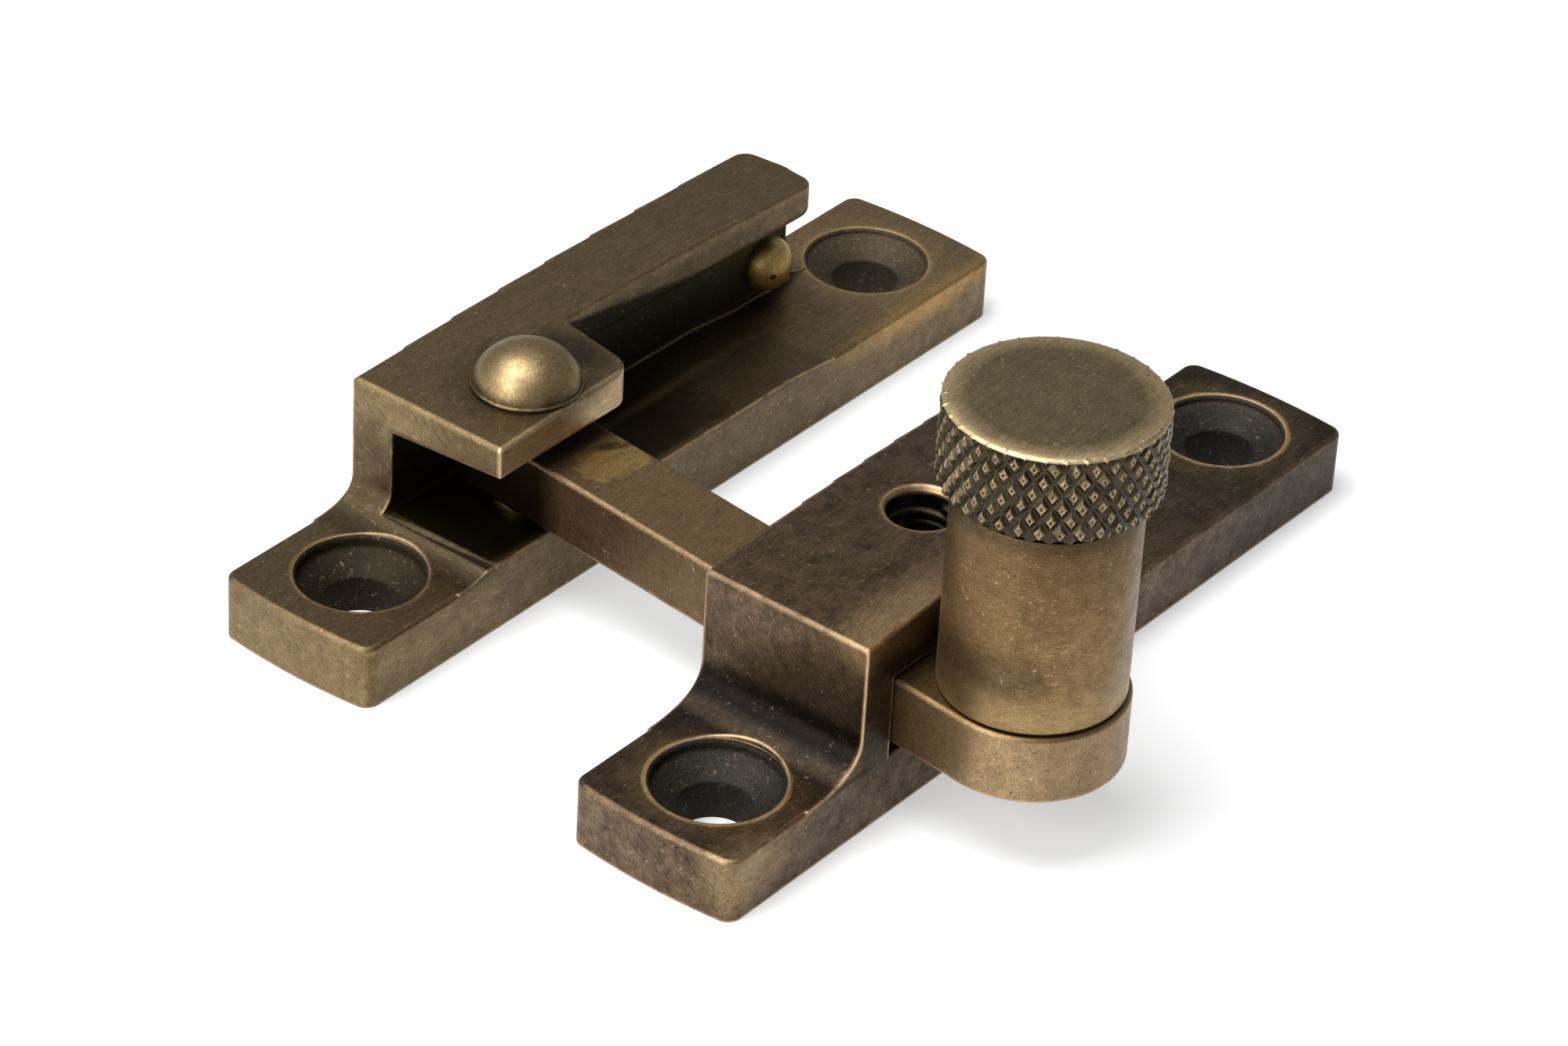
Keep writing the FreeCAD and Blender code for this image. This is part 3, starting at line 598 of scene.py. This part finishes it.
def turned(radius, height, profile):
    """A ring about the knob's axis, raised and resized step by step, in millimetres."""
    bpy.ops.mesh.primitive_circle_add(vertices=128, radius=radius * mm,
                                      location=(knob_x, knob_y, height * mm))
    for wider, rise in profile:
        bpy.ops.mesh.extrude_region_move(TRANSFORM_OT_translate={"value": (0, 0, rise * mm)})
        bpy.ops.transform.resize(value=(wider / radius, wider / radius, 1), center_override=knob_axis)
        radius = wider


# One diamond of the knurl, spun round the head and stacked in half steps.
bpy.ops.mesh.primitive_circle_add(vertices=4, radius=1)
knob = bpy.context.object
knob.name = "knob_body"
bpy.ops.object.mode_set(mode="EDIT")
bpy.ops.mesh.select_all(action="SELECT")
bpy.ops.transform.rotate(value=math.pi / 2, orient_axis="Y", center_override=(0, 0, 0))
bpy.ops.transform.resize(value=(1, knurl_width / 2, knurl_height / 2), center_override=(0, 0, 0))
bpy.ops.transform.translate(value=(groove_radius, 0, 0))
for size, rise in ((0.88, 0.03), (0.52, 0.24), (0.50, 0.05), (0.60, -0.08)):
    bpy.ops.mesh.extrude_region_move(TRANSFORM_OT_translate={"value": (rise * mm, 0, 0)})
    bpy.ops.transform.resize(value=(1, size, size), center_override=(0, 0, 0))
bpy.ops.mesh.edge_face_add()
bpy.ops.mesh.select_all(action="SELECT")
bpy.ops.transform.translate(value=(knob_x, knob_y, head_low))
bpy.ops.mesh.spin(steps=knurls - 1, dupli=True, angle=2 * math.pi * (knurls - 1) / knurls,
                  center=knob_axis, axis=(0, 0, 1))
bpy.ops.mesh.select_all(action="SELECT")
for row in range(knurl_rows):
    bpy.ops.mesh.duplicate()
    bpy.ops.transform.rotate(value=math.pi / knurls, orient_axis="Z", center_override=knob_axis)
    bpy.ops.transform.translate(value=(0, 0, knurl_height / 2))
bpy.ops.mesh.select_all(action="SELECT")
bpy.ops.mesh.remove_doubles(threshold=0.045 * mm)
bpy.ops.transform.vertex_random(offset=0.05 * mm, seed=7)

# The head's lower edge is turned round, and its top closed by a rolled rim and a low dome.
inset = 0
for height in (0.4 * mm, 0.2 * mm, 0.08 * mm, 0):
    bpy.ops.mesh.select_all(action="SELECT")
    bpy.ops.mesh.bisect(plane_co=(0, 0, head_low + height), plane_no=(0, 0, 1), clear_inner=height == 0)
    bpy.ops.object.mode_set(mode="OBJECT")
    for vertex in knob.data.vertices:
        vertex.select = vertex.co.z < head_low + height + 0.001 * mm
    bpy.ops.object.mode_set(mode="EDIT")
    deeper = head_round - math.sqrt(head_round ** 2 - (head_round - height) ** 2)
    factor = (head_radius - deeper) / (head_radius - inset)
    bpy.ops.transform.resize(value=(factor, factor, 1), center_override=knob_axis)
    inset = deeper
bpy.ops.mesh.select_all(action="SELECT")
bpy.ops.mesh.bisect(plane_co=(0, 0, head_high - 0.24 * mm), plane_no=(0, 0, 1), clear_outer=True)
for size, rise in ((0.988, 0.06), (0.96, 0.02)):
    bpy.ops.mesh.extrude_region_move(TRANSFORM_OT_translate={"value": (0, 0, rise * mm)})
    bpy.ops.transform.resize(value=(size, size, 1), center_override=knob_axis)
turned(7.4, 32.95, ((7.42, 0.15), (7.33, 0.10), (7.12, 0.07), (6.6, 0.04), (5.2, 0.02), (3.0, 0.02)))

# The barrel is a plain turning with a thin foot below and a neck under the head.
barrel = barrel_radius / mm
turned(5.7, 11.0, ((5.7, 0.15), (6.22, 0), (6.36, 0.06), (barrel, 0.14), (barrel, 14.8), (6.36, 0.1),
                   (6.1, 0.05), (6.1, 0.45)))
bpy.ops.mesh.select_all(action="SELECT")
bpy.ops.mesh.fill_holes(sides=0)
bpy.ops.mesh.normals_make_consistent(inside=False)
bpy.ops.object.mode_set(mode="OBJECT")
bpy.ops.object.shade_smooth_by_angle(angle=math.radians(32))
knob_brass = aged_brass("knurled_knob_brass", "E2CAA0", "8C7350", "6A5639", "1B1A17", 1.5 * mm, 0.8,
                        knob_marks, unroll_knob, 0.12 * mm)
knob.data.materials.append(knob_brass)
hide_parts("knob")
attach(knob, "arm")
